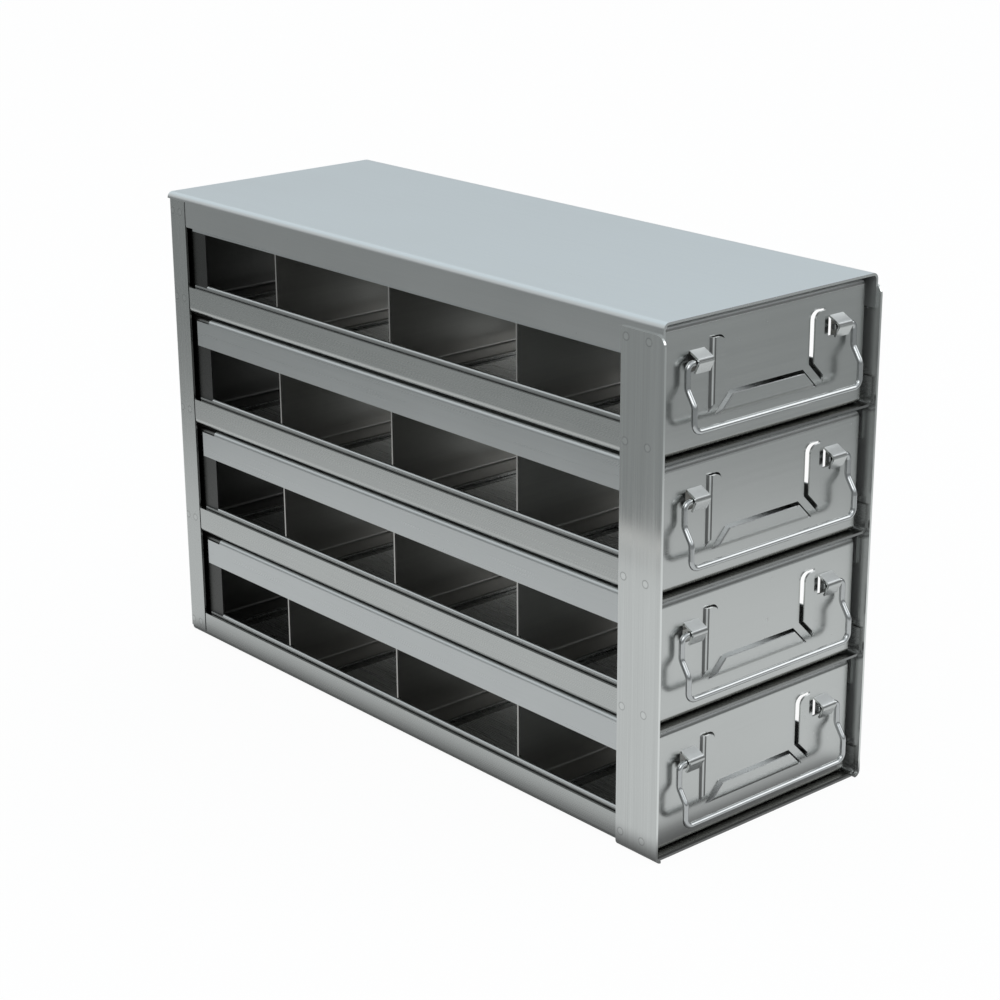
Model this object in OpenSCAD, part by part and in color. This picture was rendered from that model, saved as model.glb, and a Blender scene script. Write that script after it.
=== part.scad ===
// Freezer drawer rack in folded stainless sheet: an open-sided rack with stacked drawers,
// each drawer split into compartments by upright dividers and pulled by a hinged wire bail.
// Millimetres, +Z up, front towards -Y, origin under the middle of the whole part.

/* [Rack] */
// Width over the front uprights
rack_w = 139; // [120:1:170]
// Depth from the front edges of the uprights to the back
rack_d = 375; // [320:1:480]
// Number of drawers, one above the other
levels = 4; // [2:1:5]
// Height of a level, from one shelf to the next
level_h = 62.2; // [61.5:0.1:80]
// Height of the top level, from its shelf to the underside of the cover
top_level_h = 61.8; // [61:0.1:80]
// Thickness of the rack's sheet
sheet = 1.2; // [0.8:0.1:1.3]
// Inner radius of the bends in the rack's sheet
bend_r = 2; // [1:0.5:3]
// Height of a shelf over its folded sides
shelf_h = 14; // [10:0.5:16]
// Height of the cover over its folded sides
cover_h = 16.5; // [12:0.5:18]

/* [Uprights] */
// Width of a front upright, front to back
upright_w = 26.3; // [18:0.1:40]
// How far the front uprights stand in front of the shelves
upright_proud = 2; // [0:0.5:3]
// How far the front uprights end below the top of the cover
upright_drop = 5.3; // [4.8:0.1:12]
// Radius of the upper front corners of the front uprights
upright_corner_r = 5; // [1:0.5:8]
// Width of a rear upright, front to back
rear_upright_w = 15.4; // [10:0.1:22]
// Gap between the end of a folded side and the rear upright
side_end_gap = 0.9; // [0.5:0.1:1.5]
// Width of the folded foot under the back of the bottom tray
back_foot_w = 122; // [60:1:125]
// Gap between a stepped-in tab and the bend beside it
tab_relief = 0.4; // [0.2:0.1:1]

/* [Drawer] */
// Thickness of the drawer's sheet
drawer_sheet = 1; // [0.8:0.1:1.1]
// Inner radius of the bends in the drawer's sheet
drawer_bend_r = 1.5; // [1:0.1:2]
// How far the drawer's front stands behind the front edges of the shelves
drawer_recess = 3.5; // [1:0.5:6]
// Height of the front and rear panels' top edges over the underside of the shelf
drawer_top = 59.5; // [58:0.1:60]
// Height of the low side rails over the underside of the shelf
low_rail_top = 16.6; // [15:0.1:20]
// Height of the upper side rails
high_rail_h = 16; // [10:0.5:20]
// How far the upper side rails stand over the front and rear panels
high_rail_proud = 1; // [0:0.1:1.2]
// Width of the folded-in top of an upper side rail
high_rail_lip = 7.5; // [5:0.5:12]
// Depth of the folded-in hem along the low side rails
hem_h = 5; // [3:0.5:6]
// Gap inside the hem
hem_gap = 0.4; // [0.2:0.1:0.6]
// How far the side rails start behind the drawer's front
rail_setback = 3.5; // [3:0.5:8]
// How far the side rails end in front of the drawer's back
rail_end_gap = 18; // [16.5:0.5:22]
// Depth of the front panel's folded sides
front_side_d = 20; // [8:0.5:24]
// Depth of the front and rear panels' folded top edges
panel_lip_d = 9; // [6:0.5:11]
// Depth of the rear panel's folded sides
rear_side_d = 28; // [24:0.5:34]
// Gap between the panels' folded sides and the folds of the side rails
fold_gap = 1; // [0.5:0.1:2]

/* [Compartments] */
// Number of compartments in a drawer, front to back
compartments = 4; // [2:1:4]
// Clear depth of a compartment, front to back; the rearmost takes what is left
pocket_d = 91.3; // [70:0.1:91.6]
// Depth of the folded foot of a divider
foot_d = 14; // [8:0.5:18]
// Width of a divider's foot, side to side
foot_w = 118; // [80:1:122]
// Inner radius of the bend of a divider's foot
foot_bend_r = 1; // [0.5:0.1:1.5]
// Width of the slot across the floor in front of each foot
slot_d = 7; // [3:0.5:10]
// Length of the slot, side to side
slot_w = 104; // [60:1:116]
// Distance between a foot and its slot
slot_gap = 0.6; // [0.3:0.1:2]

/* [Label holder] */
// How far the tongues stand out of the front panel
tongue_raise = 1.9; // [1.5:0.1:3]
// Distance between the open edges of the two side tongues
label_w = 57.6; // [40:0.1:62]
// Width of a side tongue
tongue_w = 8.2; // [6:0.1:9]
// Width of the open slot along a tongue's free edges
tongue_slot = 1.5; // [0.8:0.1:2]
// Gap over the top of a side tongue
tongue_top_gap = 0.4; // [0.2:0.1:1]
// Width of the slanted step where a tongue leaves the panel
tongue_step = 2.2; // [1:0.1:2.8]
// Height of the top of the side tongues over the underside of the shelf
tongue_top = 50.7; // [46:0.1:52]
// Radius of the upper inner corner of a side tongue
tongue_corner_r = 4; // [1:0.5:6]
// Height of the mitred corner of the side tongues
tongue_mitre_z = 27.1; // [25.6:0.1:30]
// Height of the bottom tongue's open edge
label_floor_z = 23.5; // [20:0.1:24.5]
// Height of the bottom tongue's fold
label_fold_z = 15.3; // [13:0.1:16]
// Distance between the bottom tongue's upper corners
label_floor_w = 45.6; // [34:0.1:47]

/* [Handle] */
// Diameter of the bail's wire
wire_d = 2.8; // [2.5:0.1:3.2]
// Distance between the middles of the two knuckles
knuckle_span = 89.2; // [88:0.1:92]
// Width of a knuckle
knuckle_w = 9; // [6:0.1:9.8]
// Height where a knuckle's strip leaves the panel, over the underside of the shelf
knuckle_root_z = 47.2; // [45:0.1:49]
// How far a knuckle's nose would stand out before it is rounded
knuckle_nose = 6.9; // [6.4:0.1:7.4]
// Slant of a knuckle's strip, in degrees: the upper leg falls by it, the lower one leans back by it
knuckle_slant = 27; // [22:1:32]
// Length of a knuckle's lower leg
knuckle_leg = 7; // [6:0.1:8]
// Width of the cut beside a knuckle's strip
knuckle_cut = 0.6; // [0.3:0.1:1]
// Distance between the bail's two arms
arm_span = 106.6; // [104:0.1:112]
// Distance from the front panel to the bail's bar
bar_out = 7.8; // [7:0.1:10]
// Height of the bar over the underside of the shelf
bar_z = 13.2; // [11:0.1:15]
// Height where the arms start to slant outwards
kink_top_z = 31.5; // [30:0.5:33]
// Height where the arms stop slanting outwards
kink_low_z = 24.5; // [23:0.5:26]
// Radius of the bail's lower corners, at the middle of the wire
bail_corner_r = 4; // [3:0.5:5]
// Radius of the bend beside each knuckle, at the middle of the wire
bail_top_r = 3; // [2:0.1:3.2]
// Radius of the slight bends in the arms, at the middle of the wire
kink_r = 5; // [3:0.5:6]
// How far the wire's ends reach past the knuckles
wire_end = 0.7; // [0.3:0.1:2]

/* [Fits] */
// Gap between a drawer and the folded sides of its shelf
side_gap = 0.7; // [0.5:0.1:1.2]
// Gap under a drawer, over its shelf
glide_gap = 0.3; // [0.2:0.05:0.5]
// Gap between a drawer's back and the rack's back when it is shut
stop_gap = 0.3; // [0.2:0.05:1]
// Gap between sheets that lie beside each other in a drawer
lap_gap = 0.1; // [0.05:0.05:0.2]
// Gap between the bail's wire and the legs of its knuckle
bail_gap = 0.35; // [0.3:0.05:0.5]

/* [Hidden] */
$fn = 48;
// Overrun of every cut
over = 1;

// Places along the depth: front edges of the uprights, of the shelves, and the back
handle_proud = max(0, bar_out + wire_d / 2 - upright_proud - drawer_recess);
front_y = handle_proud - (rack_d + handle_proud) / 2;
back_y = front_y + rack_d;
shelf_y = front_y + upright_proud;
web_y = back_y - sheet;
rear_upright_y = back_y - rear_upright_w;
side_end_y = rear_upright_y - side_end_gap;

// Widths over the shelves' folded sides, and between them
shelf_w = rack_w - 2 * sheet;
shelf_in_w = shelf_w - 2 * sheet;
tab_w = shelf_w - 2 * sheet;
fold_r = bend_r + sheet;
tab_y1 = web_y - bend_r;

// Heights
cover_under_z = sheet + (levels - 1) * level_h + top_level_h;
cover_top_z = cover_under_z + sheet;
function level_z(n) = sheet + (levels - n) * level_h;

// Drawer: y counts from the outer face of its front panel, z from the underside of its shelf
drawer_y = shelf_y + drawer_recess;
drawer_d = web_y - stop_gap - drawer_y;
drawer_w = shelf_in_w - 2 * side_gap;
drawer_in_w = drawer_w - 2 * drawer_sheet;
panel_w = drawer_in_w - 2 * lap_gap;
panel_r = drawer_bend_r + drawer_sheet;
floor_z = sheet + glide_gap;
floor_top_z = floor_z + drawer_sheet;
rear_floor_w = tab_w - 2 * sheet - 2 * bend_r;
rail_y0 = rail_setback;
rail_y1 = drawer_d - rail_end_gap;
hem_w = 2 * drawer_sheet + hem_gap;
hem_y0 = front_side_d + fold_gap;
hem_y1 = drawer_d - rear_side_d - fold_gap;

// Compartments
function divider_y(i) =
    i < compartments ? drawer_sheet + i * pocket_d + (i - 1) * drawer_sheet : drawer_d - drawer_sheet;
high_rail_top = drawer_top + high_rail_proud;
divider_top_z = high_rail_top - drawer_sheet - 3 * lap_gap;
divider_low_w = drawer_w - 2 * hem_w - 4 * lap_gap;
divider_step_z = low_rail_top + 4 * lap_gap;

// Handle: the wire lies in the corner of the knuckle, as far from the upper leg as from the lower
wire_r = wire_d / 2;
nose_z = knuckle_root_z - knuckle_nose * tan(knuckle_slant);
pivot_depth = drawer_sheet + bail_gap + wire_r;
pivot_out = knuckle_nose - pivot_depth * (cos(knuckle_slant) + sin(knuckle_slant));
pivot_z = nose_z - pivot_depth * (cos(knuckle_slant) - sin(knuckle_slant));
// A bead closes the wire where a slanted stretch begins; it is this much thicker
bead_share = 1.01;

// What the rack's own sheets and each drawer are called
RACK_NODES = concat(
    ["top_cover", "back_cover", "front_frame"],
    [for (n = [1:levels - 1]) str("shelf_", n)],
    ["bottom_tray"]
);
DRAWER_PIECES = concat(
    ["floor_tray", "left_rail", "right_rail", "front_panel", "rear_panel"],
    [for (i = [1:compartments - 1]) str("divider_", i)],
    ["bail_handle"]
);

// Flat shapes that the folds are made of

// A quarter ring: the section of a bend of inner radius r in a sheet t thick
module quarter_bend(r, t) {
    difference() {
        intersection() {
            circle(r + t);
            square(r + t);
        }
        circle(r);
    }
}

// An angle with its outer corner at the origin and its legs along the axes
module angle_section(a, b, t, r) {
    translate([r + t, 0]) square([a - r - t, t]);
    translate([0, r + t]) square([t, b - r - t]);
    translate([r + t, r + t]) rotate(180) quarter_bend(r, t);
}

// A channel, open upwards, w wide and h high over all, with its underside at the origin
module channel_section(w, h, t, r) {
    for (side = [0, 1]) mirror([side, 0]) translate([-w / 2, 0]) angle_section(w / 2, h, t, r);
}

// A plain rectangle with round corners, centred
module round_rect(w, h, r) {
    square([w - 2 * r, h], center = true);
    square([w, h - 2 * r], center = true);
    for (sx = [-1, 1]) for (sz = [-1, 1]) translate([sx * (w / 2 - r), sz * (h / 2 - r)]) circle(r);
}

// Runs a section drawn in x and z along y, from y0 to y1
module along_y(y0, y1) {
    translate([0, y1, 0]) rotate([90, 0, 0]) linear_extrude(y1 - y0) children();
}

// Runs a section drawn in y and z along x, from x0 to x1
module along_x(x0, x1) {
    translate([x0, 0, 0]) rotate([90, 0, 90]) linear_extrude(x1 - x0) children();
}

// The rack

// A sheet with folded sides. Behind them it steps in, so that it passes inside the rear uprights.
module shelf(n) {
    color([0.70, 0.72, 0.72]) translate([0, 0, level_z(n)]) {
        along_y(shelf_y, side_end_y) channel_section(shelf_w, shelf_h, sheet, bend_r);
        along_y(side_end_y - sheet, tab_y1) channel_section(tab_w, shelf_h, sheet, bend_r);
    }
}

// A sheet whose bends run on past the rear uprights, to y1. Its folded sides end before the
// uprights, in tabs that step in behind them.
module end_sheet(h, y1) {
    difference() {
        along_y(shelf_y, y1) channel_section(shelf_w, h, sheet, bend_r);
        translate([-shelf_w / 2 - over, side_end_y, fold_r])
            cube([shelf_w + 2 * over, back_y - side_end_y + over, h]);
    }
    for (side = [0, 1]) mirror([side, 0, 0])
        translate([tab_w / 2 - sheet, side_end_y - sheet, fold_r + tab_relief])
            cube([sheet, tab_y1 - side_end_y + sheet, h - fold_r - 2 * tab_relief]);
}

module bottom_tray() {
    color([0.68, 0.70, 0.70]) translate([0, 0, level_z(levels)]) end_sheet(shelf_h, tab_y1);
}

module top_cover() {
    color([0.76, 0.79, 0.81]) translate([0, 0, cover_top_z]) mirror([0, 0, 1]) end_sheet(cover_h, back_y);
}

module front_frame() {
    frame_h = cover_top_z - upright_drop;
    color([0.66, 0.68, 0.69]) difference() {
        along_y(front_y, front_y + upright_w) channel_section(rack_w, frame_h, sheet, bend_r);
        // Round upper front corners
        translate([0, front_y, frame_h]) difference() {
            translate([-rack_w / 2 - over, -over, -upright_corner_r])
                cube([rack_w + 2 * over, upright_corner_r + over, upright_corner_r + over]);
            translate([0, upright_corner_r, -upright_corner_r]) rotate([0, 90, 0])
                cylinder(h = rack_w + 4 * over, r = upright_corner_r, center = true);
        }
        // The web under the tray is not proud of it, only the uprights are
        translate([-rack_w / 2 + fold_r, front_y - over, -over])
            cube([rack_w - 2 * fold_r, upright_proud + over, sheet + 2 * over]);
    }
}

module back_cover() {
    foot_z = sheet + fold_r;
    upright_top = cover_top_z - fold_r;
    color([0.72, 0.74, 0.75]) {
        // Back panel and its two folded sides, which are the rear uprights
        translate([0, back_y, foot_z]) linear_extrude(upright_top - foot_z) mirror([0, 1])
            channel_section(shelf_w, rear_upright_w, sheet, bend_r);
        // The panel goes on up to the cover between the uprights
        translate([-tab_w / 2 + sheet + bend_r, web_y, upright_top - over])
            cube([tab_w - 2 * sheet - 2 * bend_r, sheet, cover_under_z - upright_top + over]);
        // Foot folded forwards under the bottom tray
        along_x(-back_foot_w / 2, back_foot_w / 2) translate([back_y, 0]) mirror([1, 0])
            angle_section(rear_upright_w, foot_z + over, sheet, bend_r);
    }
}

// The drawers

// Section of the low sides' folded-in hem, on the +x side
module hem_section() {
    translate([drawer_w / 2 - drawer_sheet - hem_gap / 2, low_rail_top - drawer_sheet - hem_gap / 2]) {
        difference() {
            circle(drawer_sheet + hem_gap / 2);
            circle(hem_gap / 2);
            translate([-hem_w, -2 * hem_w]) square([2 * hem_w, 2 * hem_w]);
        }
        translate([-drawer_sheet - hem_gap / 2, -hem_h]) square([drawer_sheet, hem_h]);
        translate([hem_gap / 2, -hem_h]) square([drawer_sheet, hem_h]);
    }
}

module floor_tray() {
    wall_h = low_rail_top - drawer_sheet - hem_gap / 2 - floor_z;
    color([0.60, 0.62, 0.62]) difference() {
        union() {
            translate([0, 0, floor_z])
                along_y(rail_y0, rail_y1) channel_section(drawer_w, wall_h, drawer_sheet, drawer_bend_r);
            for (side = [0, 1]) mirror([side, 0, 0]) along_y(hem_y0, hem_y1) hem_section();
            // The floor goes on under the rear panel
            translate([-rear_floor_w / 2, rail_y0, floor_z])
                cube([rear_floor_w, drawer_d - drawer_sheet - rail_y0, drawer_sheet]);
        }
        // A slot across the floor at the back of every compartment
        for (i = [1:compartments])
            translate([0, divider_y(i) - foot_d - slot_gap - slot_d / 2, floor_z - over])
                linear_extrude(drawer_sheet + 2 * over) {
                    square([slot_w - slot_d, slot_d], center = true);
                    for (side = [-1, 1]) translate([side * (slot_w - slot_d) / 2, 0]) circle(slot_d / 2);
                }
    }
}

// Upper side rail with its folded-in top, on the +x side
module side_rail() {
    rail_z = high_rail_top - high_rail_h;
    translate([drawer_w / 2 - drawer_sheet, rail_y0, rail_z])
        cube([drawer_sheet, rail_y1 - rail_y0, high_rail_h - panel_r]);
    along_y(hem_y0, hem_y1) translate([drawer_w / 2, high_rail_top]) rotate(180)
        angle_section(high_rail_lip, high_rail_h - over, drawer_sheet, drawer_bend_r);
}

module right_rail() {
    color([0.73, 0.76, 0.78]) side_rail();
}

module left_rail() {
    color([0.73, 0.76, 0.78]) mirror([1, 0, 0]) side_rail();
}

// A block with round edges and corners at its front, its front face on y = 0
module soft_block(w, z0, z1, d, r) {
    zm = (z0 + z1) / 2;
    h = z1 - z0;
    translate([0, 0, zm]) {
        along_y(r, d) round_rect(w, h, r);
        cube_w = w - 2 * r;
        cube_h = h - 2 * r;
        translate([-cube_w / 2, 0, -cube_h / 2]) cube([cube_w, r + over, cube_h]);
        for (side = [-1, 1]) {
            translate([side * cube_w / 2, r, 0]) cylinder(h = cube_h, r = r, center = true);
            translate([0, r, side * cube_h / 2]) rotate([0, 90, 0])
                cylinder(h = cube_w, r = r, center = true);
            for (up = [-1, 1]) translate([side * cube_w / 2, r, up * cube_h / 2]) sphere(r);
        }
    }
}

// A pan: a panel with all four edges folded back. Its underside is at low_z, its sides are
// side_d deep, its top lip_d and its bottom low_d.
module pan(low_z, side_d, lip_d, low_d) {
    difference() {
        soft_block(panel_w, low_z, drawer_top, side_d, panel_r);
        translate([0, drawer_sheet, 0]) soft_block(
            panel_w - 2 * drawer_sheet, low_z + drawer_sheet, drawer_top - drawer_sheet,
            side_d + over, drawer_bend_r
        );
        // The folded top and bottom are shorter than the sides
        translate([-panel_w / 2 + panel_r, lip_d, drawer_top - panel_r])
            cube([panel_w - 2 * panel_r, side_d, panel_r + over]);
        translate([-panel_w / 2 + panel_r, low_d, low_z - over])
            cube([panel_w - 2 * panel_r, side_d, panel_r + over]);
    }
}

// Outline, in x and z, of the label holder's right tongue, with its open edge moved out by slot and
// its top by top_gap
module side_tongue_outline(slot, top_gap) {
    x0 = label_w / 2 - slot;
    x1 = label_w / 2 + tongue_w;
    mitre_z = tongue_mitre_z - (sqrt(2) - 1) * slot;
    top = tongue_top + top_gap;
    difference() {
        polygon([[x0, mitre_z], [x1, mitre_z - (x1 - x0)], [x1, top], [x0, top]]);
        translate([x0, top]) difference() {
            translate([-over, -tongue_corner_r]) square(tongue_corner_r + over);
            translate([tongue_corner_r, -tongue_corner_r]) circle(tongue_corner_r);
        }
    }
}

// Outline, in x and z, of the label holder's bottom tongue, with its free edges moved out by slot
module bottom_tongue_outline(slot) {
    top_z = label_floor_z + slot;
    top = label_floor_w / 2 + (sqrt(2) - 1) * slot;
    low = top + top_z - label_fold_z;
    polygon([[-low, label_fold_z], [low, label_fold_z], [top, top_z], [-top, top_z]]);
}

// Section across a tongue that leaves the panel at zero and reaches along the first axis to w
module tongue_section(w) {
    out = -tongue_raise;
    polygon([
        [0, drawer_sheet], [0, 0], [tongue_step, out],
        [w, out], [w, out + drawer_sheet], [tongue_step, out + drawer_sheet]
    ]);
}

// Runs an outline drawn in x and z through the panel and what stands in front of it
module through_panel() {
    along_y(-tongue_raise - over, drawer_sheet + over) children();
}

module label_tongues() {
    for (side = [0, 1]) mirror([side, 0, 0]) intersection() {
        translate([label_w / 2 + tongue_w, 0, 0]) linear_extrude(tongue_top + over)
            mirror([1, 0]) tongue_section(tongue_w);
        through_panel() side_tongue_outline(0, 0);
    }
    intersection() {
        translate([0, 0, label_fold_z]) along_x(-panel_w / 2, panel_w / 2)
            mirror([1, -1]) tongue_section(label_floor_z - label_fold_z);
        through_panel() bottom_tongue_outline(0);
    }
}

// A strip of the panel pushed out and curled back, which holds one end of the bail
module knuckle() {
    upper_leg = (knuckle_nose + drawer_sheet) / cos(knuckle_slant);
    along_x(-knuckle_w / 2, knuckle_w / 2) intersection() {
        translate([-knuckle_nose, nose_z]) rotate(knuckle_slant) mirror([0, 1])
            angle_section(upper_leg, knuckle_leg, drawer_sheet, drawer_sheet);
        // The strip ends in the middle of the panel's sheet
        translate([-knuckle_nose, nose_z - knuckle_leg])
            square([knuckle_nose + drawer_sheet / 2, 2 * knuckle_leg]);
    }
}

module front_panel() {
    low_fold_d = rail_y0 - lap_gap;
    window_w = knuckle_w + 2 * knuckle_cut;
    window_top = knuckle_root_z - drawer_sheet / 2;
    window_low = nose_z - knuckle_leg * cos(knuckle_slant);
    color([0.67, 0.69, 0.70]) {
        difference() {
            // Its bottom fold ends in front of the floor, and its sides clear the floor's bends
            pan(floor_z, front_side_d, panel_lip_d, low_fold_d);
            translate([-panel_w / 2 - over, low_fold_d, floor_z - over])
                cube([panel_w + 2 * over, front_side_d, panel_r + over]);
            for (side = [0, 1]) mirror([side, 0, 0])
                through_panel() side_tongue_outline(tongue_slot, tongue_top_gap);
            through_panel() bottom_tongue_outline(tongue_slot);
            for (side = [-1, 1]) translate([side * knuckle_span / 2 - window_w / 2, -over, window_low])
                cube([window_w, drawer_sheet + 2 * over, window_top - window_low]);
        }
        label_tongues();
        for (side = [-1, 1]) translate([side * knuckle_span / 2, 0, 0]) knuckle();
    }
}

module rear_panel() {
    color([0.64, 0.66, 0.66]) translate([0, drawer_d, 0]) mirror([0, 1, 0])
        pan(floor_top_z, rear_side_d, panel_lip_d, foot_d);
}

// An upright sheet across the drawer with a foot folded forwards along the floor
module divider(i) {
    top_w = drawer_in_w - 2 * lap_gap;
    front = divider_y(i);
    bend = foot_bend_r + drawer_sheet;
    color([0.58, 0.59, 0.59]) {
        translate([-divider_low_w / 2, front, floor_top_z + bend])
            cube([divider_low_w, drawer_sheet, divider_top_z - floor_top_z - bend]);
        translate([-top_w / 2, front, divider_step_z])
            cube([top_w, drawer_sheet, divider_top_z - divider_step_z]);
        along_x(-foot_w / 2, foot_w / 2) translate([front + drawer_sheet, floor_top_z]) mirror([1, 0])
            angle_section(foot_d + drawer_sheet, bend + over, drawer_sheet, foot_bend_r);
    }
}

// The bail: one wire, bent square beside the knuckles, slanted outwards and closed by a bar

module rod(length) {
    rotate([0, 90, 0]) cylinder(h = length, r = wire_r);
}

// A bend of radius r that starts at the origin along +x and turns by angle a towards +y
module elbow(r, a) {
    translate([0, r, 0]) rotate(-90) rotate_extrude(angle = a) translate([r, 0]) circle(wire_r);
}

// A square bend round the origin in the x-z plane, from angle start on
module square_bend(r, start) {
    rotate([90, 0, 0]) rotate(start) rotate_extrude(angle = 90) translate([r, 0]) circle(wire_r);
}

module bead() {
    sphere(wire_r * bead_share);
}

// One arm on its side of the bail, from the knuckle to the bar. Its slanted stretch is laid along
// its own x axis, and each piece there starts where the last one ends.
module arm(side) {
    slant = atan2(bar_out - pivot_out, kink_top_z - kink_low_z);
    slant_len = (kink_top_z - kink_low_z) / cos(slant);
    ease = kink_r * tan(slant / 2);
    knuckle_x = (knuckle_span - knuckle_w) / 2 - wire_end;
    arm_x = arm_span / 2;
    top_z = pivot_z - bail_top_r;
    drop = top_z - kink_top_z - ease;
    low_z = bar_z + bail_corner_r;
    // Straight end in the knuckle, then the bend down into the arm
    translate([side > 0 ? knuckle_x : bail_top_r - arm_x, -pivot_out, pivot_z])
        rod(arm_x - bail_top_r - knuckle_x);
    translate([side * (arm_x - bail_top_r), -pivot_out, top_z]) square_bend(bail_top_r, side > 0 ? 0 : 90);
    // The arm goes down, slants outwards and goes down again
    translate([side * arm_x, -pivot_out, top_z]) rotate([0, 90, 0]) {
        rod(drop);
        translate([drop, 0, 0]) rotate([180, 0, 0]) {
            elbow(kink_r, slant);
            translate([ease, 0, 0]) rotate(slant) translate([ease, 0, 0]) {
                bead();
                rod(slant_len - 2 * ease);
                translate([slant_len - 2 * ease, 0, 0]) rotate([180, 0, 0]) elbow(kink_r, slant);
            }
        }
    }
    translate([side * arm_x, -bar_out, kink_low_z - ease]) bead();
    translate([side * arm_x, -bar_out, low_z]) cylinder(h = kink_low_z - ease - low_z, r = wire_r);
    // The lower corner, where the bar begins
    translate([side * (arm_x - bail_corner_r), -bar_out, low_z])
        square_bend(bail_corner_r, side > 0 ? 270 : 180);
}

module bail_handle() {
    bar_x = arm_span / 2 - bail_corner_r;
    color([0.84, 0.86, 0.87]) {
        for (side = [-1, 1]) arm(side);
        translate([-bar_x, -bar_out, bar_z]) rod(2 * bar_x);
    }
}

// A piece of drawer n, by its name
module drawer_piece(p) {
    if (p == "floor_tray") floor_tray();
    if (p == "left_rail") left_rail();
    if (p == "right_rail") right_rail();
    if (p == "front_panel") front_panel();
    if (p == "rear_panel") rear_panel();
    for (i = [1:compartments - 1]) if (p == str("divider_", i)) divider(i);
    if (p == "bail_handle") bail_handle();
}

module in_level(n) {
    translate([0, drawer_y, level_z(n)]) children();
}

top_cover();
back_cover();
front_frame();
bottom_tray();
for (n = [1:levels - 1]) shelf(n);
for (n = [1:levels]) for (p = DRAWER_PIECES)
    in_level(n) drawer_piece(p);
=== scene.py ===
# %% [markdown]
# A freezer drawer rack in folded stainless steel.
#
# On the real object every piece but the bails is sheet metal: cut flat, brushed in one direction
# by the rolling mill, folded and spot-welded. The solids come from the CAD model with all their
# folds, hems and lanced tongues, so this file makes what CAD can't hold: how the steel looks.
# Each finish is a shader written as sums, and the studio is a pale table under soft light.

# %% Load the solids
import math

import bpy
from mathutils import Matrix, Vector


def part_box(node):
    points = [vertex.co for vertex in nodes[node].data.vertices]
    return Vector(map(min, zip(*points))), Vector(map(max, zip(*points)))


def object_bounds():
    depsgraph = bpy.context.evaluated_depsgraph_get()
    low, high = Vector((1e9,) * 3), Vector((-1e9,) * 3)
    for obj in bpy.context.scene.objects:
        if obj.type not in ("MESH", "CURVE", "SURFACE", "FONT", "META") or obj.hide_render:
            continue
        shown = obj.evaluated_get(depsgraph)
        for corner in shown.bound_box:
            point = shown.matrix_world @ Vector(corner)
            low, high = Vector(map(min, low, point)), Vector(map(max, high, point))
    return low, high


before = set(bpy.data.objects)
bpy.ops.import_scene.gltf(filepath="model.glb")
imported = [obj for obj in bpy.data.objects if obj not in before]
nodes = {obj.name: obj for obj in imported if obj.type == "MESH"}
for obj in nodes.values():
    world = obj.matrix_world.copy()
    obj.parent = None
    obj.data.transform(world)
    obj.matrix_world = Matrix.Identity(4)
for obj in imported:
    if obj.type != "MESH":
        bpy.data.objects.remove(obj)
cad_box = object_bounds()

scene = bpy.context.scene
print(len(nodes), "pieces, box", [round(v, 4) for v in cad_box[0]], [round(v, 4) for v in cad_box[1]])

# %% [markdown]
# Places on the rack are read from the solids, so a weld mark sits on the flange it holds even if
# the rack is made wider or a level higher. A millimetre is written MM, because Blender's unit
# here is the metre.

# %% Places on the rack
MM = 0.001
frame_low, frame_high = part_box("front_frame")
cover_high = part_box("top_cover")[1]
back_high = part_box("back_cover")[1]
shelf_z = {n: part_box(f"shelf_{n}")[0].z for n in (1, 2, 3)}
tray_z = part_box("bottom_tray")[0].z
level_step = shelf_z[1] - shelf_z[2]
sheet = tray_z - frame_low.z
print("level", round(level_step / MM, 2), "mm, sheet", round(sheet / MM, 2), "mm")

# %% [markdown]
# A shader is a graph of nodes, but a sum such as grain * 0.2 + 0.9 is easier to read than three
# nodes and four links. The small class below wraps one output of a node. Its operators add Math
# nodes, with the reflected forms too, so that 1 - mask works on either side. Every other kind of
# node comes from its one method, node(). Two masks that the finishes use again and again, a soft
# step and a narrow line, are methods too.


# %% Sums that build shaders
class Signal:
    """One output of a shader node, which can be used in sums."""

    def __init__(self, tree, socket):
        self.tree = tree
        self.socket = socket

    @classmethod
    def node(cls, tree, kind, settings=None, sockets=None, out=0):
        """Adds a node, makes its settings, feeds its sockets and returns one of its outputs."""
        made = tree.nodes.new(kind)
        for name, value in (settings or {}).items():
            setattr(made, name, value)
        for name, value in (sockets or {}).items():
            if isinstance(value, Signal):
                tree.links.new(value.socket, made.inputs[name])
            else:
                made.inputs[name].default_value = value
        return cls(tree, made.outputs[out])

    def maths(self, operation, *others):
        """A Math node on this value and the others."""
        sockets = {0: self, **{i + 1: other for i, other in enumerate(others)}}
        return Signal.node(self.tree, "ShaderNodeMath", {"operation": operation}, sockets)

    def __add__(self, other):
        return self.maths("ADD", other)

    __radd__ = __add__

    def __sub__(self, other):
        return self.maths("SUBTRACT", other)

    def __rsub__(self, other):
        return self.maths("MULTIPLY", -1.0) + other

    def __mul__(self, other):
        return self.maths("MULTIPLY", other)

    __rmul__ = __mul__

    def __truediv__(self, other):
        return self.maths("DIVIDE", other)

    def __abs__(self):
        return self.maths("ABSOLUTE")

    def above(self, edge, soft):
        """0 below the edge, 1 above it, with a soft change."""
        return Signal.node(self.tree, "ShaderNodeMapRange", {"interpolation_type": "SMOOTHSTEP"},
                           {"Value": self, "From Min": edge - soft / 2, "From Max": edge + soft / 2})

    def near(self, middle, reach):
        """1 at the middle, falling evenly to 0 at the reach on either side."""
        return 1 - (abs(self - middle) / reach).maths("MINIMUM", 1.0)


# %% [markdown]
# Colours and directions need their own nodes, because a Math node would turn a colour grey.
# Four helpers cover what the finishes use: a colour between two others, a coordinate stretched
# along the axes, noise read at such a coordinate, and a vector taken apart into its axes.


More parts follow.
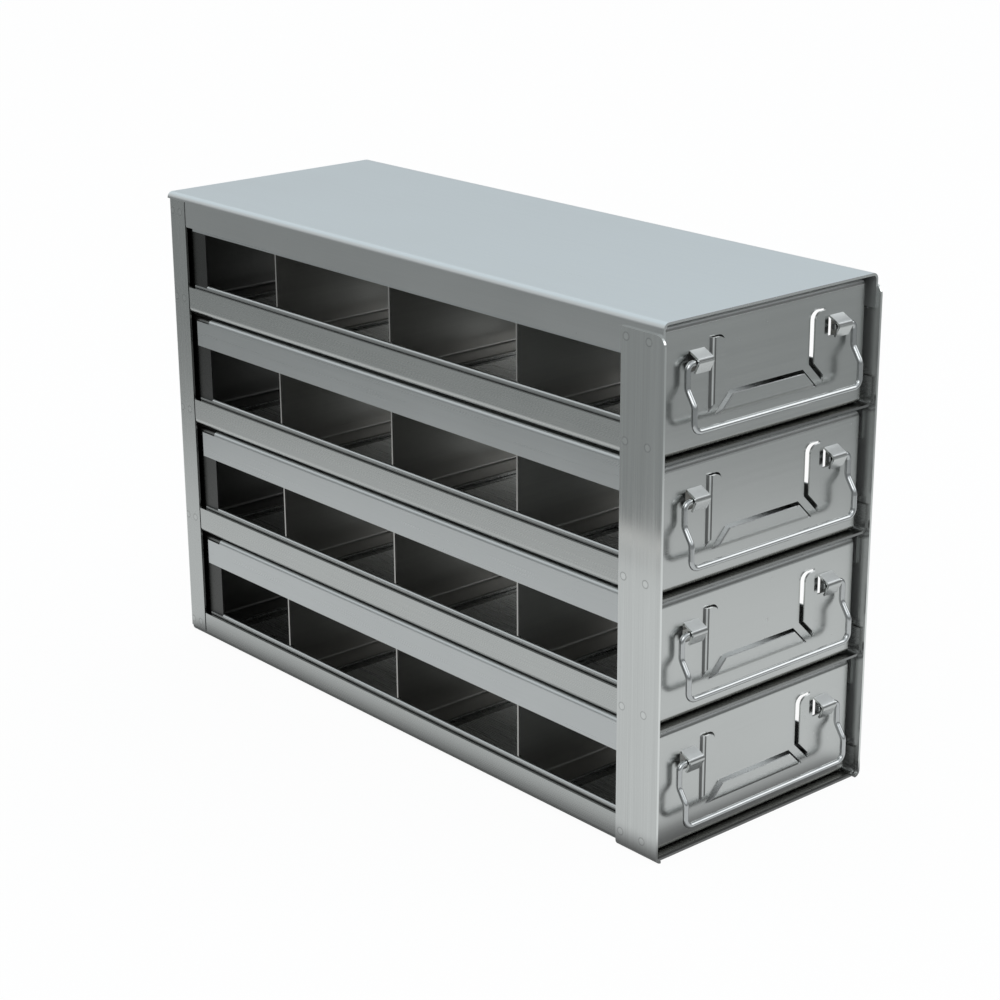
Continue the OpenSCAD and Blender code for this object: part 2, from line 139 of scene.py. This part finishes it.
# %% Colours, coordinates and noise
def colour_between(mask, low, high):
    """The colour low where the mask is 0 and high where it is 1."""
    sockets = {0: mask, 6: low if isinstance(low, Signal) else (*low, 1.0),
               7: high if isinstance(high, Signal) else (*high, 1.0)}
    return Signal.node(mask.tree, "ShaderNodeMix", {"data_type": "RGBA"}, sockets, out=2)


def stretched(place, scales):
    """A coordinate whose three axes are multiplied by the scales."""
    return Signal.node(place.tree, "ShaderNodeVectorMath", {"operation": "MULTIPLY"}, {0: place, 1: scales})


def noise(place, scale, detail, roughness=0.5):
    """Soft random values from 0 to 1."""
    return Signal.node(place.tree, "ShaderNodeTexNoise", {},
                       {"Vector": place, "Scale": scale, "Detail": detail, "Roughness": roughness})


def axes_of(vector):
    """The x, y and z of a vector, each as a value of its own."""
    tree = vector.tree
    split = tree.nodes.new("ShaderNodeSeparateXYZ")
    tree.links.new(vector.socket, split.inputs[0])
    return [Signal(tree, split.outputs[i]) for i in range(3)]


def object_place(tree):
    """Where the surface is, in the object's own axes, in metres."""
    return Signal.node(tree, "ShaderNodeTexCoord", out=3)


def object_normal(tree):
    """Which way the surface faces, in the object's own axes."""
    return Signal.node(tree, "ShaderNodeTexCoord", out=1)


# %% [markdown]
# Brushed stainless steel is a metal with thousands of fine scratches that run one way. Along
# them the tone hardly changes, across them it changes every tenth of a millimetre, and they
# scatter light, so the same pattern drives tone, roughness and a slight bump. A noise that is
# stretched along the grain makes this with no image. Slow noise on top gives the clouded patches
# of handled sheet, and a few spots of dried cleaner.

# %% Brushing
GRAIN_PER_M = 2600.0
ALONG_PER_M = 14.0
BROAD_SCALE = 0.14
FINE_SHARE = 0.65
CLOUDS_PER_M = 16.0
CLOUD_TONE = 0.10
SPOTS_PER_M = 420.0
SPOT_PATCHES_PER_M = 30.0
SPOT_TONE = 0.10


def brushing(place, grain_axis, roughness, contrast):
    """The tone about 1, the roughness and the height of a brushed face that was handled."""
    scales = [GRAIN_PER_M] * 3
    scales["xyz".index(grain_axis)] = ALONG_PER_M
    fine = noise(stretched(place, scales), 1.0, 2.0, 0.6)
    broad = noise(stretched(place, [s * BROAD_SCALE for s in scales]), 1.0, 2.0)
    grain = fine * FINE_SHARE + broad * (1 - FINE_SHARE) - 0.5
    clouds = noise(place, CLOUDS_PER_M, 3.0) - 0.5
    spots = noise(place, SPOTS_PER_M, 1.0).above(0.78, 0.05)
    spots = spots * noise(place, SPOT_PATCHES_PER_M, 1.0).above(0.55, 0.1)
    level = grain * (contrast * 4) + clouds * CLOUD_TONE + 1.0 - spots * SPOT_TONE
    rough = grain * 0.20 + roughness + clouds * 0.05 + spots * 0.1
    return level, rough, grain


# %% [markdown]
# A folded sheet isn't alike on all its faces, and each difference is found by a normal. Cut
# edges are bare and smoother than the brushed faces, and are painted brighter, a painted highlight
# of the light their rounded edges catch, so each finish says along which axis the visible edges of
# its pieces face. Edges deep between drawers are painted darker than the sheet instead, as painted
# shade, so a finish can also say how bright they are. Faces that look into the rack are painted
# darker, as painted shade of the rack's inside: their normal points to the middle plane. A haze
# takes some of the metal away there, so that the face also scatters light and doesn't go black
# where it mirrors a dark gap. Faces that look up can take a colour of their own, painted light on
# some sheets and painted shade on others. Brushed sheet blurs its reflections across the
# scratches more than along them, which shows most on the uprights, so they have the stretch of
# the shader set.

# %% Steel sheet
BRIGHTEST = 0.92
RELIEF_DEPTH = 0.05 * MM
EDGE_GLOSS = 0.08


def new_steel(name):
    """An empty material with a metal shader, and that shader."""
    material = bpy.data.materials.new(name)
    material.use_nodes = True
    shader = material.node_tree.nodes["Principled BSDF"]
    shader.inputs["Metallic"].default_value = 1.0
    return material, shader


def steel_sheet(name, tone, grain_axis, edge_axis="y", roughness=0.30, contrast=0.05, inner_shade_factor=1.0,
                marks=None, upward=None, stretch=0.0, inner_haze=0.0, up_haze=0.0, relief=0.06, edge_light_or_shade=1.28):
    """Brushed sheet, with painted shade inside and painted light or shade on top faces and cut edges."""
    material, shader = new_steel(name)
    shader.inputs["Anisotropic"].default_value = stretch
    tree = material.node_tree
    place = object_place(tree)
    facing = dict(zip("xyz", axes_of(object_normal(tree))))
    level, rough, height = brushing(place, grain_axis, roughness, contrast)
    # Marks are weld marks, or the painted shade and highlight of the label holder's bends.
    if marks:
        dark, light = marks(place, facing)
        level = level - dark + light
        rough = rough + dark * 0.4
        height = height - light * 4
    shade = colour_between(level * 0.5, (0.0, 0.0, 0.0), tuple(2 * c for c in tone))
    # Faces that look up take the colour upward: painted light or painted shade, as the finish says.
    up = facing["z"].above(0.7, 0.4)
    if upward:
        shade = colour_between(up, shade, upward)
    # Painted shade: faces that look into the rack take a darker tone.
    inner = 1 - (facing["x"] * axes_of(place)[0]).above(-0.01, 0.01)
    shade = colour_between(inner, shade, tuple(inner_shade_factor * c for c in tone))
    # Cut edges take a painted highlight, or painted shade where their factor is below one.
    edge = abs(facing[edge_axis]).above(0.85, 0.2)
    shade = colour_between(edge, shade, tuple(min(BRIGHTEST, edge_light_or_shade * c) for c in tone))
    bump = Signal.node(tree, "ShaderNodeBump", {},
                       {"Strength": relief, "Distance": RELIEF_DEPTH, "Height": height})
    tree.links.new(shade.socket, shader.inputs["Base Color"])
    tree.links.new((1 - inner * inner_haze - up * up_haze).socket, shader.inputs["Metallic"])
    tree.links.new((rough - edge * EDGE_GLOSS).socket, shader.inputs["Roughness"])
    tree.links.new(bump.socket, shader.inputs["Normal"])
    return material


# %% [markdown]
# The rack is held together by spot welds. Each leaves a small round mark where the electrode
# pressed: a darker ring about a flat dimple. On the front uprights there are two per shelf, one
# near each edge of the strip, and they repeat with the level height, so one remainder places
# them all. The topmost pair holds the cover, and keeps its distance from the cover's top.

# %% Weld marks
MARK_R = 1.75 * MM
RING_REACH = 0.45 * MM
RING_DARK = 0.32
DIMPLE_LIGHT = 0.08
FRONT_MARKS = (9.4 * MM, 23.2 * MM)
BACK_MARKS = (4.0 * MM, 11.0 * MM)
MARK_OVER_SHELF = 7.2 * MM
COVER_MARK_DROP = 9.3 * MM


def weld_marks(columns):
    """Marks in upright columns at the given y, one at every shelf and one at the cover."""
    def marks(place, _):
        _, y, z = axes_of(place)
        turn = (z - (tray_z + MARK_OVER_SHELF) + level_step / 2).maths("FLOORED_MODULO", level_step)
        high_up = z.above(shelf_z[1] + level_step / 2, 0.2 * MM)
        rise = (turn - level_step / 2) * (1 - high_up) + (z - (cover_high.z - COVER_MARK_DROP)) * high_up
        ring, dimple = 0.0, 0.0
        for column in columns:
            across = y - column
            distance = (across * across + rise * rise).maths("SQRT")
            ring = distance.near(MARK_R, RING_REACH) * RING_DARK + ring
            dimple = (1 - distance.above(MARK_R, 0.6 * MM)) * DIMPLE_LIGHT + dimple
        return ring, dimple
    return marks


# %% [markdown]
# The tongues of the label holder step out of the panel in a slanted strip. Its light and shade
# are painted: painted shade in the crease and a painted highlight where the sheet bends out. The
# strip is the only face near the label whose normal lies between forwards and sideways. The
# panel's bends that roll over the top are painted dark too, as painted shade.

# %% Painted bend shade and highlight of the label holder
STEP_OUT_X = 37.0 * MM
STEP_W = 2.2 * MM
LABEL_HALF_W = 42.0 * MM
CREASE_SHADE = 0.7
HIGHLIGHT_AT = 0.62
HIGHLIGHT_REACH = 0.22
BEND_HIGHLIGHT = 1.2


def painted_bend_shading(place, facing):
    """Painted shade in the creases and on the rolled bends, and one painted highlight on the strips."""
    off_middle = abs(axes_of(place)[0])
    sideways = abs(facing["x"])
    slanted = sideways.above(0.4, 0.1) * (1 - sideways.above(0.9, 0.1))
    slanted = slanted * (1 - off_middle.above(LABEL_HALF_W, 0.5 * MM))
    # Painted highlight on the slanted strip, painted shade in its creases and on the bends over the top.
    highlight = ((STEP_OUT_X - off_middle) / STEP_W).near(HIGHLIGHT_AT, HIGHLIGHT_REACH)
    rolled_shade = facing["z"].above(0.25, 0.2) * (1 - facing["z"].above(0.78, 0.1))
    return (slanted + rolled_shade) * CREASE_SHADE, slanted * highlight * BEND_HIGHLIGHT


# %% [markdown]
# Each family of pieces gets its own finish. The cover's top is painted pale blue, a painted
# reflection of the studio's sky. The uprights are brushed upwards, the shelves from front to back,
# and the drawer fronts from side to side, as the sheets were laid out before folding. The shelves'
# top faces and cut edges are painted dark, as painted shade under the drawers, and the faces of
# the drawer fronts that look up are painted light. The inside of a drawer is painted darker and
# browner, as painted shade.

# %% Finishes of the rack's sheets
# The cover's top gets a painted reflection of the pale sky.
cover_steel = steel_sheet("satin_cover_sheet", (0.55, 0.56, 0.555), "y", roughness=0.32,
                          contrast=0.03, inner_shade_factor=0.5, upward=(0.64, 0.695, 0.72), inner_haze=0.25)
upright_steel = steel_sheet("upright_sheet_brushed_upwards", (0.60, 0.61, 0.60), "z",
                            roughness=0.12, contrast=0.10, inner_shade_factor=0.8,
                            marks=weld_marks([frame_low.y + mark for mark in FRONT_MARKS]),
                            stretch=0.9, inner_haze=0.15)
back_steel = steel_sheet("back_sheet_brushed_upwards", (0.51, 0.52, 0.51), "z", "z",
                         roughness=0.26, inner_shade_factor=0.4,
                         marks=weld_marks([back_high.y - mark for mark in BACK_MARKS]))
# Painted shade: the shelf's top faces and its cut edges are dark, for they lie under the drawers.
shelf_steel = steel_sheet("shelf_sheet_grained_lengthwise", (0.50, 0.51, 0.50), "y",
                          roughness=0.28, contrast=0.02, inner_shade_factor=0.5, upward=(0.16, 0.16, 0.15),
                          inner_haze=0.25, relief=0.0, edge_light_or_shade=0.5)
print([steel.name for steel in (cover_steel, upright_steel, back_steel, shelf_steel)])

# %% Finishes of the drawers' sheets
# Painted light on the faces of the fronts that look up, such as the top faces of the knuckles.
front_steel = steel_sheet("drawer_front_brushed_sideways", (0.57, 0.58, 0.57), "x", "x",
                          roughness=0.22, contrast=0.03, inner_shade_factor=0.5, marks=painted_bend_shading,
                          upward=(0.85, 0.86, 0.86), up_haze=0.5)
# Painted shade: the drawer's back is nearly black, for it stands deep in the rack.
rear_shaded_steel = steel_sheet("drawer_back_sheet_painted_shade", (0.16, 0.16, 0.155), "x", "x", roughness=0.34, edge_light_or_shade=0.5)
rail_steel = steel_sheet("rail_sheet_grained_lengthwise", (0.54, 0.555, 0.555), "y", contrast=0.04,
                         inner_shade_factor=0.4)
floor_steel = steel_sheet("drawer_floor_sheet", (0.50, 0.51, 0.505), "y", roughness=0.28, inner_shade_factor=0.45)
# Painted shade: the dividers are dark and a little brown, for they stand inside the drawers.
divider_shaded_steel = steel_sheet("divider_sheet_painted_shade", (0.34, 0.335, 0.32), "x", "x", roughness=0.32,
                            contrast=0.06)
print([steel.name for steel in (front_steel, rear_shaded_steel, rail_steel, floor_steel, divider_shaded_steel)])

# %% [markdown]
# The bail is drawn wire: it was pulled through a die, so it is brighter than the sheet and has
# faint lines along its length, too fine to see but for a slight change of gloss.

# %% Finish of the wire
wire_steel, wire_shader = new_steel("bright_drawn_wire")
wire_tree = wire_steel.node_tree
wire_place = object_place(wire_tree)
drawn = noise(wire_place, 900.0, 2.0) - 0.5
handled = noise(wire_place, 60.0, 2.0) - 0.5
wire_tone = colour_between(drawn * 0.5 + handled * 0.4 + 0.5, (0.44, 0.45, 0.455), (0.58, 0.59, 0.59))
wire_tree.links.new(wire_tone.socket, wire_shader.inputs["Base Color"])
wire_tree.links.new((drawn * 0.08 + handled * 0.06 + 0.13).socket, wire_shader.inputs["Roughness"])

# %% Give every piece its finish
FINISHES = {"top_cover": cover_steel, "back_cover": back_steel, "front_frame": upright_steel,
            "shelf": shelf_steel, "bottom_tray": shelf_steel, "floor_tray": floor_steel,
            "left_rail": rail_steel, "right_rail": rail_steel, "front_panel": front_steel,
            "rear_panel": rear_shaded_steel, "divider": divider_shaded_steel, "bail_handle": wire_steel}
for name, piece in nodes.items():
    family = next(key for key in FINISHES if key in name)
    piece.data.materials.clear()
    piece.data.materials.append(FINISHES[family])
print(len(FINISHES), "families of pieces have their finish")

# %% [markdown]
# The studio. Polished steel shows its surroundings, so they matter more than the lamps. The
# background is white to the eye of the camera. What the steel mirrors is a pale sky, a little
# blue, bright overhead and grey at the horizon, and a table that is bright beside the rack and
# darker away from it. That is why the lower drawers look lighter than the upper ones, and why
# round wire shows a dark line between two bright ones.

# %% Sky
HORIZON = (0.30, 0.31, 0.315)
OVERHEAD = (0.86, 0.905, 0.925)
world = bpy.data.worlds.new("studio_sky")
scene.world = world
world.use_nodes = True
sky_tree = world.node_tree
_, _, upward = axes_of(Signal.node(sky_tree, "ShaderNodeTexCoord", out=0))
sky = colour_between(upward.above(0.21, 0.32), HORIZON, OVERHEAD)
sky_to_camera = Signal.node(sky_tree, "ShaderNodeLightPath", out=0)
seen = colour_between(sky_to_camera, sky, (1.0, 1.0, 1.0))
sky_tree.links.new(seen.socket, sky_tree.nodes["Background"].inputs["Color"])
print("sky from", HORIZON, "to", OVERHEAD)

# %% [markdown]
# The table top is one large round face just under the rack.

# %% Table top
FLOOR_R = 9.0
FLOOR_CORNERS = 64
floor_mesh = bpy.data.meshes.new("table_top")
turns = [2 * math.pi * i / FLOOR_CORNERS for i in range(FLOOR_CORNERS)]
corners = [(math.cos(a) * FLOOR_R, math.sin(a) * FLOOR_R, 0.0) for a in turns]
floor_mesh.from_pydata(corners, [], [list(range(FLOOR_CORNERS))])
table_top = bpy.data.objects.new("table_top", floor_mesh)
table_top.location.z = frame_low.z - 0.1 * MM
scene.collection.objects.link(table_top)
print("table top", round(2 * FLOOR_R, 1), "m across")

# %% [markdown]
# What the steel mirrors of the table is painted apart from what the camera sees, as a glow that
# shapes the sheets: a painted reflection. It holds a painted shadow, dark at the rack's foot, is
# bright beside the rack, and dull further away. On the left it ends, with a dark seam, a bright
# rim and a faint groove, and the brushed uprights mirror that edge as one soft band across them.

# %% What the steel mirrors of the table
SHADE = (0.12, 0.12, 0.12)
BESIDE = (0.76, 0.78, 0.785)
FURTHER = (0.285, 0.30, 0.30)
PAST_EDGE = (0.27, 0.285, 0.285)
EDGE_X = -0.385
EDGE_W = 0.016
# Each line: its middle, how far it reaches, how strongly it shows and its colour
EDGE_LINES = ((EDGE_X, EDGE_W, 0.85, (0.05, 0.05, 0.05)),
              (EDGE_X + 1.2 * EDGE_W, 0.7 * EDGE_W, 0.9, (1.0, 0.98, 0.94)),
              (EDGE_X + 2.6 * EDGE_W, EDGE_W, 0.5, (0.2, 0.2, 0.2)))
table_paint = bpy.data.materials.new("white_table")
table_paint.use_nodes = True
paint_tree = table_paint.node_tree
paint_tree.nodes.clear()
table_x, table_y, _ = axes_of(object_place(paint_tree))
past_x = (abs(table_x) - frame_high.x).maths("MAXIMUM", 0.0)
past_y = (abs(table_y) - back_high.y).maths("MAXIMUM", 0.0)
past = (past_x * past_x + past_y * past_y).maths("SQRT")
away = (table_x * table_x + table_y * table_y).maths("SQRT")
# Painted shadow at the rack's foot, in the glow that the steel mirrors.
mirrored = colour_between(past.above(0.011, 0.018), SHADE, BESIDE)
mirrored = colour_between(away.above(0.60, 0.42), mirrored, FURTHER)
mirrored = colour_between(table_x.above(EDGE_X, EDGE_W), PAST_EDGE, mirrored)
for line_x, reach, share, tone in EDGE_LINES:
    mirrored = colour_between(table_x.near(line_x, reach) * share, mirrored, tone)
print("the table ends", round(-EDGE_X, 3), "m to the left of the rack's middle")

# %% [markdown]
# To the camera the table is almost a plain white, with a little of the painted surface left in
# it, which keeps the rack's shadow. Rays that come from a mirroring surface see the tones above.

# %% Paint of the table
WHITE_SHARE = 0.95
MIRRORED_SHARE = 0.9
to_camera = Signal.node(paint_tree, "ShaderNodeLightPath", out=0)
to_gloss = Signal.node(paint_tree, "ShaderNodeLightPath", out=3)
white_paint = Signal.node(paint_tree, "ShaderNodeBsdfDiffuse", {}, {"Color": (0.92, 0.925, 0.93, 1.0)})
plain_white = Signal.node(paint_tree, "ShaderNodeEmission", {}, {"Color": (1.0, 1.0, 1.0, 1.0)})
glow = Signal.node(paint_tree, "ShaderNodeEmission", {}, {"Color": mirrored})
as_seen = Signal.node(paint_tree, "ShaderNodeMixShader", {},
                      {0: to_camera * WHITE_SHARE, 1: white_paint, 2: plain_white})
whole = Signal.node(paint_tree, "ShaderNodeMixShader", {},
                    {0: to_gloss * MIRRORED_SHARE, 1: as_seen, 2: glow})
surface = paint_tree.nodes.new("ShaderNodeOutputMaterial")
paint_tree.links.new(whole.socket, surface.inputs["Surface"])
floor_mesh.materials.append(table_paint)

# %% [markdown]
# Two large soft lamps shape the folds: one high on the left behind the camera and a weaker one
# on the right. They are area lamps, because a small lamp would burn a spot into brushed steel.


# %% Lamps
def soft_lamp(name, place, aim, size, power):
    """A square area lamp at a place, turned to the point it lights."""
    lamp = bpy.data.lights.new(name, "AREA")
    lamp.size = size
    lamp.energy = power
    holder = bpy.data.objects.new(name, lamp)
    holder.location = place
    holder.rotation_mode = "QUATERNION"
    holder.rotation_quaternion = (Vector(aim) - Vector(place)).to_track_quat("-Z", "Y")
    scene.collection.objects.link(holder)
    print(name, power, "W,", size, "m across")


middle = (cad_box[0] + cad_box[1]) / 2
soft_lamp("key_lamp", (-1.3, -1.4, 1.7), middle, size=1.4, power=9.0)
soft_lamp("fill_lamp", (1.7, -1.2, 1.1), middle, size=1.2, power=5.0)

# %% [markdown]
# The camera stands where the photographer stood: in front, to the left and a little above. Its
# direction and distance were worked out from the straight edges of the rack in the photograph.

# %% Camera
VIEW_AZIMUTH = math.radians(-40.876)
VIEW_HEIGHT = math.radians(19.012)
VIEW_ROLL = math.radians(-0.369)
VIEW_DISTANCE = 1079.66 * MM
VIEW_POINT = Vector((-65.78, -75.91, 145.09)) * MM
FOCAL_SHARE = 2.3243

camera_data = bpy.data.cameras.new("camera")
camera_data.sensor_width = 36.0
camera_data.lens = FOCAL_SHARE * camera_data.sensor_width
camera_data.clip_start = 0.01
camera_data.clip_end = 100.0
camera = bpy.data.objects.new("camera", camera_data)
scene.collection.objects.link(camera)
scene.camera = camera
backwards = Vector((math.sin(VIEW_AZIMUTH) * math.cos(VIEW_HEIGHT),
                    -math.cos(VIEW_AZIMUTH) * math.cos(VIEW_HEIGHT), math.sin(VIEW_HEIGHT)))
level_right = Vector((math.cos(VIEW_AZIMUTH), math.sin(VIEW_AZIMUTH), 0.0))
level_up = backwards.cross(level_right)
right = math.cos(VIEW_ROLL) * level_right + math.sin(VIEW_ROLL) * level_up
up = -math.sin(VIEW_ROLL) * level_right + math.cos(VIEW_ROLL) * level_up
camera.rotation_mode = "QUATERNION"
camera.rotation_quaternion = Matrix((right, up, backwards)).transposed().to_quaternion()
camera.location = VIEW_POINT + backwards * VIEW_DISTANCE
scene.view_settings.view_transform = "Standard"
print("camera at", [round(v, 3) for v in camera.location], "lens", round(camera_data.lens, 1), "mm")
